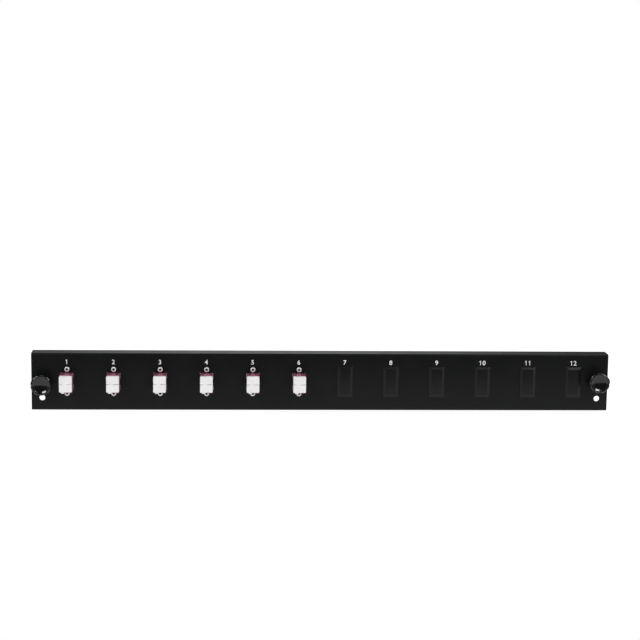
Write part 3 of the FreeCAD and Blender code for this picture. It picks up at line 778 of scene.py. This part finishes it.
# %% Add its stems
STEM_HALF, STEM, STEM_ROOT, STEM_ROUND = 2.2 * MM, 9.5 * MM, 0.5 * MM, 0.25 * MM
BORE_HALF, BORE = 1.55 * MM, 3.0 * MM
for way in (1, -1):
    z = way * PORT_RISE
    stem = block("stem", (PORT_X - STEM_HALF, -STEM_ROOT, z - STEM_HALF),
                 (PORT_X + STEM_HALF, STEM, z + STEM_HALF))
    pick_edges(stem, lambda middle, run: abs(run.y) > MM)
    bpy.ops.mesh.bevel(offset=STEM_ROUND, segments=2, affect="EDGES")
    settle()
    cut(stem, block("bore", (PORT_X - BORE_HALF, STEM - BORE, z - BORE_HALF),
                    (PORT_X + BORE_HALF, STEM + MM, z + BORE_HALF)))
    weld(cap_head, stem)
soften(cap_head, 0.16 * MM, 3, 40)
print("one cap:", triangles(cap_head), "triangles")

# %% Set the front caps, then turn the cap and set the rear ones
for n in ADAPTERS:
    copy = copy_to(cap_head, "dust_cap_front_%d" % n, (port_x[n], house_low.y, PORT_Z))
    dress(copy, white_moulding, "front_cap_%d_body" % n, "cap_white", "front_cap_%d" % n)
open_all(cap_head)
bpy.ops.transform.rotate(value=math.pi, orient_axis="X", center_override=(0, 0, 0))
settle()
for n in ADAPTERS:
    copy = copy_to(cap_head, "dust_cap_rear_%d" % n, (port_x[n], house_high.y, PORT_Z))
    dress(copy, white_moulding, "rear_cap_%d_body" % n, "cap_white", "rear_cap_%d" % n)
drop(cap_head)

# %% [markdown]
# ## The blanks
#
# A blank is a thin black cover with a wide bevel all round, and a frame behind it that snaps into
# the opening. The bevel is one inset of the front face that also rises, which keeps its four slopes
# flat and mitred. Two tongues, above and below, carry the snap hooks.

# %% Mould a blank
blank_low, blank_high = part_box("blank_7")
BLANK_HALF = ((blank_high.x - blank_low.x) / 2, 11.5 * MM)
EDGE, RISE, BEVEL = 0.4 * MM, 1.0 * MM, 2.0 * MM
blank = block("snap_blank", (-BLANK_HALF[0], PLATE_FRONT - EDGE, -BLANK_HALF[1]),
              (BLANK_HALF[0], PLATE_FRONT, BLANK_HALF[1]))
pick_faces(blank, lambda middle, normal: normal.y < -0.5)
bpy.ops.mesh.inset(thickness=BEVEL, depth=RISE)
settle()
print("cover of the blank:", triangles(blank), "triangles")

# %% Mould its frame and snap hooks
SNAP_HALF, SNAP_SLOT, BLANK_WALL, ROOT = 2.0 * MM, 1.0 * MM, 1.2 * MM, 0.2 * MM
HOOK, HOOK_Y, HOOK_LENGTH, HOOK_SINK = 0.7 * MM, 0.1 * MM, 2.4 * MM, 0.1 * MM
BLANK_DEPTH = blank_high.y
rim = block("rim", (-HALF_WIDTH, PLATE_FRONT - ROOT, -HALF_HEIGHT),
            (HALF_WIDTH, BLANK_DEPTH, HALF_HEIGHT))
cut(rim, block("inside", (-HALF_WIDTH + BLANK_WALL, PLATE_FRONT, -HALF_HEIGHT + BLANK_WALL),
               (HALF_WIDTH - BLANK_WALL, BLANK_DEPTH + MM, HALF_HEIGHT - BLANK_WALL)))
for way in (1, -1):
    x0, x1 = sorted((way * SNAP_HALF, way * (SNAP_HALF + SNAP_SLOT)))
    cut(rim, block("slot", (x0, 0, -2 * HALF_HEIGHT), (x1, BLANK_DEPTH + MM, 2 * HALF_HEIGHT)))
for way in (1, -1):
    z0, z1 = sorted((way * (HALF_HEIGHT - ROOT), way * (HALF_HEIGHT + HOOK)))
    hook = block("hook", (-SNAP_HALF, HOOK_Y, z0), (SNAP_HALF, HOOK_Y + HOOK_LENGTH, z1))
    pick_edges(hook, lambda middle, run: abs(run.x) > MM and middle.y > HOOK_Y + MM
               and way * middle.z > HALF_HEIGHT)
    bpy.ops.transform.translate(value=(0, 0, -way * (HOOK + HOOK_SINK)))
    settle()
    weld(rim, hook)
soften(blank, 0.16 * MM, 3, 20)
soften(rim, 0.06 * MM, 1, 50)
join("snap_blank", [rim, blank])
for n in BLANKS:
    copy = copy_to(blank, "snap_blank_%d" % n, (port_x[n], 0, PORT_Z))
    dress(copy, black_moulding, "panel", "blank_black", "blank_%d" % n)
drop(blank)

# %% [markdown]
# ## The latches
#
# Each latch is a split grommet in the plate and a knob on a plunger. Both are turned parts, so both
# come from a profile that is spun. The knob has a dished face, a chamfered lip, a fluted rim and a
# waist.

# %% Turn and split the grommet
COLLAR, COLLAR_HEIGHT, COLLAR_ROUND = 5.6 * MM, 1.4 * MM, 0.4 * MM
BARREL, BORE_RADIUS, BARREL_CHAMFER = 3.5 * MM, 2.05 * MM, 0.3 * MM
SLOT, SLOT_START = 0.5 * MM, 1.5 * MM
BARREL_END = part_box("latch_grommet_left")[1].y
collar_front = PLATE_FRONT - COLLAR_HEIGHT
collar = arc(COLLAR - COLLAR_ROUND, collar_front + COLLAR_ROUND, COLLAR_ROUND, -90, 0)
grommet_profile = [(BORE_RADIUS, BARREL_END), (BORE_RADIUS, collar_front)] + collar + [
    (COLLAR, PLATE_FRONT), (BARREL, PLATE_FRONT), (BARREL, BARREL_END - BARREL_CHAMFER),
    (BARREL - BARREL_CHAMFER, BARREL_END)]
grommet = turned("grommet", grommet_profile, steps=80)
for wide, high in ((2 * BARREL, SLOT), (SLOT, 2 * BARREL)):
    cut(grommet, block("slot", (-wide, SLOT_START, -high), (wide, BARREL_END + MM, high)))
soften(grommet, 0.06 * MM, 1, 50)
for side, at in latch_at.items():
    copy = copy_to(grommet, "split_grommet_" + side, (at.x, 0, at.z))
    dress(copy, polished_black, "panel", "latch_black", "latch_grommet_" + side)
drop(grommet)

# %% Turn the knob
knob_low, knob_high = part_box("latch_knob_left")
FACE, TIP = knob_low.y, knob_high.y
RIM, RIM_DEPTH, RIM_ROUND = 7.6 * MM, 3.6 * MM, 0.5 * MM
DISH = 6.1 * MM
NECK, WAIST_BEND, WAIST_BEHIND_RIM = 4.3 * MM, 1.4 * MM, 2.0 * MM
SHAFT, SHAFT_CHAMFER = 2.0 * MM, 0.8 * MM
KNOB_GAP = 0.1 * MM
KNOB_SEAT = collar_front - KNOB_GAP
# The dish has a nearly flat floor and a shallow cone round it: (radius in mm, slope in radians).
DISH_SLOPES = [(0.0, 0.0), (4.3, 0.12), (4.8, 0.41), (6.1, 0.52)]
STEP = 0.1 * MM
dish, depth = [], 0.0
r = DISH
while r > STEP / 2:
    dish.append((r, FACE + depth))
    for (r0, s0), (r1, s1) in zip(DISH_SLOPES, DISH_SLOPES[1:]):
        if r0 * MM <= r <= r1 * MM + STEP / 2:
            slope = s0 + (s1 - s0) * (r / MM - r0) / (r1 - r0)
    depth += STEP * math.tan(slope)
    r -= STEP
dish.append((0, FACE + depth))
dish.reverse()
print("dish %.2f mm deep" % (depth / MM))
LIP_WIDTH = 0.75 * MM
lip = [(RIM - LIP_WIDTH, FACE), (RIM, FACE + LIP_WIDTH)]
waist = arc(NECK + WAIST_BEND, FACE + RIM_DEPTH + WAIST_BEHIND_RIM, WAIST_BEND, 270, 180, 8)
back_rim = arc(RIM - RIM_ROUND, FACE + RIM_DEPTH - RIM_ROUND, RIM_ROUND, 0, 90, 6)
knob_profile = dish + lip + back_rim + waist + [
    (NECK, KNOB_SEAT), (SHAFT, KNOB_SEAT), (SHAFT, TIP - SHAFT_CHAMFER),
    (SHAFT - SHAFT_CHAMFER, TIP), (0, TIP)]
knob = turned("latch_knob", knob_profile, steps=126, closed=False)
print("turned knob:", triangles(knob), "triangles")

# %% [markdown]
# The flutes are cut by nine round tools set evenly about the axis, which lean outwards to the back.
# They break the bright arc that the lip shows along its top. A plunger turns freely in its grommet,
# so each knob stands at its own angle.

# %% Cut the flutes
FLUTES, FLUTE_RADIUS, FLUTE_DEPTH, FLUTE_RISE = 9, 1.2 * MM, 0.64 * MM, 0.58 * MM
OVERSHOOT = 0.5 * MM
reach = RIM + FLUTE_RADIUS - FLUTE_DEPTH
tools = []
for k in range(FLUTES):
    turn = 2 * math.pi * k / FLUTES
    x, z = math.cos(turn), math.sin(turn)
    tool = rod("flute_tool", FLUTE_RADIUS, FACE, FACE + RIM_DEPTH, reach * x, reach * z, 40)
    pick_faces(tool, lambda middle, normal: normal.y > 0.5)
    bpy.ops.transform.translate(value=(FLUTE_RISE * x, 0, FLUTE_RISE * z))
    pick_faces(tool, lambda middle, normal: abs(normal.y) > 0.5)
    bpy.ops.mesh.extrude_region_shrink_fatten(TRANSFORM_OT_shrink_fatten={"value": OVERSHOOT})
    tools.append(tool)
cut(knob, join("flute_tools", tools))
soften(knob, 0.10 * MM, 2, 35)
KNOB_TURN = {"left": 98, "right": 87}
for side, at in latch_at.items():
    copy = copy_to(knob, "plunger_knob_" + side, (0, 0, 0))
    open_all(copy)
    bpy.ops.transform.rotate(value=math.radians(-KNOB_TURN[side]), orient_axis="Y",
                             center_override=(0, 0, 0))
    bpy.ops.transform.translate(value=(at.x, 0, at.z))
    settle()
    dress(copy, polished_black, "latch_knob_%s_body" % side, "latch_black", "latch_knob_" + side)
drop(knob)

# %% [markdown]
# ## The place it stands in
#
# The photo shows only white round the panel, so this room is made up to give the highlights that
# the panel shows: a white wall behind it, brightest in the middle, and a dim room behind the
# camera, a little lighter at its sides. The lip along the top mirrors the wall at a grazing angle
# and shines, while the flat face mirrors the dim room and stays deep black. The camera itself sees
# plain white; only light and mirrors see the room.

# %% Nodes that repeat
WHITE = (1, 1, 1, 1)


def smooth_ramp(tree, start, end, at_start=0.0, at_end=1.0):
    """A value that passes smoothly from one level to another between two places."""
    ramp = tree.nodes.new("ShaderNodeMapRange")
    ramp.interpolation_type = "SMOOTHSTEP"
    for socket, level in (("From Min", start), ("From Max", end),
                          ("To Min", at_start), ("To Max", at_end)):
        ramp.inputs[socket].default_value = level
    return ramp


def reckon(tree, operation, *terms):
    """The result of a sum, whose terms are numbers or the outputs of other nodes."""
    node = tree.nodes.new("ShaderNodeMath")
    node.operation = operation
    for socket, term in zip(node.inputs, terms):
        if isinstance(term, (int, float)):
            socket.default_value = term
        else:
            tree.links.new(term, socket)
    return node.outputs[0]


# %% White wall, dim room
WALL_LIGHT, WALL_EDGE, WALL_CENTRE, WALL_FADE = 0.71, 0.04, 0.02, (0.02, 0.19)
ROOM_LIGHT, ROOM_SIDES, ROOM_FADE = 0.09, 0.32, (0.40, 0.80)
WALL_TO_ROOM = (-0.15, 0.10)
world = bpy.data.worlds.new("white_wall_dim_room")
bpy.context.scene.world = world
world.use_nodes = True
tree = world.node_tree
tree.nodes.clear()
direction = tree.nodes.new("ShaderNodeTexCoord")
parts = tree.nodes.new("ShaderNodeSeparateXYZ")
tree.links.new(direction.outputs["Generated"], parts.inputs["Vector"])
sideways = parts.outputs["X"]
off_centre = reckon(tree, "ABSOLUTE", reckon(tree, "SUBTRACT", sideways, WALL_CENTRE))
wall_light = smooth_ramp(tree, *WALL_FADE, WALL_LIGHT, WALL_EDGE)
tree.links.new(off_centre, wall_light.inputs["Value"])
room_light = smooth_ramp(tree, *ROOM_FADE, ROOM_LIGHT, ROOM_SIDES)
tree.links.new(reckon(tree, "ABSOLUTE", sideways), room_light.inputs["Value"])
fade = smooth_ramp(tree, *WALL_TO_ROOM)
tree.links.new(parts.outputs["Y"], fade.inputs["Value"])
tree.links.new(room_light.outputs["Result"], fade.inputs["To Min"])
tree.links.new(wall_light.outputs["Result"], fade.inputs["To Max"])
rays = tree.nodes.new("ShaderNodeLightPath")
seen = reckon(tree, "MAXIMUM", rays.outputs["Is Camera Ray"], rays.outputs["Is Transmission Ray"])
room, backdrop = (tree.nodes.new("ShaderNodeBackground") for _ in range(2))
for light in (room, backdrop):
    light.inputs["Color"].default_value = WHITE
tree.links.new(fade.outputs["Result"], room.inputs["Strength"])
mix = tree.nodes.new("ShaderNodeMixShader")
out = tree.nodes.new("ShaderNodeOutputWorld")
tree.links.new(seen, mix.inputs["Fac"])
tree.links.new(room.outputs[0], mix.inputs[1])
tree.links.new(backdrop.outputs[0], mix.inputs[2])
tree.links.new(mix.outputs[0], out.inputs["Surface"])
print("world of", len(tree.nodes), "nodes")

# %% [markdown]
# The table reaches only a hand's width in front of the panel. Its front edge is what the dished
# knobs show as a sharp line across their middle: white table above it, dim room below. The camera
# sees most of the table as a white glow, and mirrors see a smaller share of it. The rest is plain
# paint, which takes the lamps' light and keeps the panel's shadow.

# %% Table
TABLE_Z = plate_low.z - 3 * MM
TABLE_FRONT, TABLE_BACK, TABLE_HALF = -130 * MM, 900 * MM, 600 * MM
TABLE_GLOW, SEEN_SHARE, MIRRORED_SHARE = 1.34, 0.72, 0.40
settle()
bpy.ops.mesh.primitive_plane_add(size=2)
table = bpy.context.object
table.name = "white_table"
open_all(table)
bpy.ops.transform.resize(value=(TABLE_HALF, (TABLE_BACK - TABLE_FRONT) / 2, 1))
bpy.ops.transform.translate(value=(0, (TABLE_BACK + TABLE_FRONT) / 2, TABLE_Z))
settle()
table_top = bpy.data.materials.new("white_table_top")
table_top.use_nodes = True
tree = table_top.node_tree
paint = tree.nodes["Principled BSDF"]
paint.inputs["Base Color"].default_value = (0.9, 0.9, 0.9, 1)
paint.inputs["Roughness"].default_value = 0.9
glow = tree.nodes.new("ShaderNodeEmission")
glow.inputs["Strength"].default_value = TABLE_GLOW
rays = tree.nodes.new("ShaderNodeLightPath")
mix = tree.nodes.new("ShaderNodeMixShader")
indirect = reckon(tree, "ADD", rays.outputs["Is Glossy Ray"], rays.outputs["Is Transmission Ray"])
mirrored = reckon(tree, "MULTIPLY", indirect, MIRRORED_SHARE)
share = reckon(tree, "MULTIPLY_ADD", rays.outputs["Is Camera Ray"], SEEN_SHARE, mirrored)
tree.links.new(share, mix.inputs["Fac"])
tree.links.new(paint.outputs[0], mix.inputs[1])
tree.links.new(glow.outputs[0], mix.inputs[2])
tree.links.new(mix.outputs[0], tree.nodes["Material Output"].inputs["Surface"])
table.data.materials.append(table_top)
print("table at z = %.1f mm" % (TABLE_Z / MM))

# %% [markdown]
# Two spark lamps in front, high at the left and the right, are what the dished knobs mirror as an
# oblong highlight. Two narrow wings at the sides are what their lips mirror as arcs. A panel stands
# behind, a strip overhead, and a weak panel in front and above. All of them are above the panel and
# aimed at its middle, out of the mirror directions of its flat face.

# %% Lamps
# Each row: name, width and height in metres, watts, place, roll in degrees.
LAMPS = [
    ("left_spark", (0.62, 0.26), 8.0, (-0.85, -0.96, 0.75), 26),
    ("right_spark", (0.62, 0.26), 8.0, (0.85, -0.96, 0.75), -26),
    ("left_wing", (0.14, 0.80), 3.4, (-1.00, -0.20, 0.85), 0),
    ("right_wing", (0.14, 0.80), 4.0, (1.00, -0.20, 0.85), 0),
    ("back_panel", (1.2, 0.60), 2.6, (0, 1.10, 0.95), 0),
    ("top_strip", (1.2, 0.14), 0.9, (0, -0.22, 1.20), 0),
    ("ceiling_panel", (0.5, 0.4), 0.5, (0.40, -0.97, 0.86), 0),
]
for name, size, power, place, roll in LAMPS:
    settle()
    bpy.ops.object.light_add(type="AREA", location=place)
    light = bpy.context.object
    light.name = name
    light.data.shape = "RECTANGLE"
    light.data.size, light.data.size_y = size
    light.data.energy = power
    light.rotation_euler = (Vector() - Vector(place)).to_track_quat("-Z", "Y").to_euler()
    light.rotation_euler.rotate_axis("Z", math.radians(roll))
print(len(LAMPS), "lamps")

# %% [markdown]
# ## The camera
#
# The camera stands where the photograph's did. Its place and angles come from matching seventy
# points of the panel, such as the screws, the caps' corners and the ends of the plate.

# %% Camera
YAW, PITCH_DOWN, ROLL = (math.radians(a) for a in (3.115, 9.370, -0.750))
EYE = Vector((-70.518, -1259.511, 254.449)) * MM
SENSOR, LENS, NEAREST = 36, 97.858, 0.01
level = math.cos(PITCH_DOWN)
ahead = Vector((math.sin(YAW) * level, math.cos(YAW) * level, -math.sin(PITCH_DOWN)))
right = Vector((math.cos(YAW), -math.sin(YAW), 0))
down = ahead.cross(right)
across = math.cos(ROLL) * right + math.sin(ROLL) * down
below = -math.sin(ROLL) * right + math.cos(ROLL) * down
settle()
bpy.ops.object.camera_add()
camera = bpy.context.object
camera.name = "photo_camera"
camera.data.sensor_width = SENSOR
camera.data.lens = LENS
camera.data.clip_start = NEAREST
facing = Matrix((across, -below, -ahead)).transposed()
camera.matrix_world = Matrix.Translation(EYE) @ facing.to_4x4()
print("camera %.0f mm from the panel's middle" % (EYE.length / MM))
bpy.context.scene.camera = camera
bpy.context.scene.view_settings.view_transform = "Standard"

# %% Finish
settle()
bpy.context.view_layer.update()
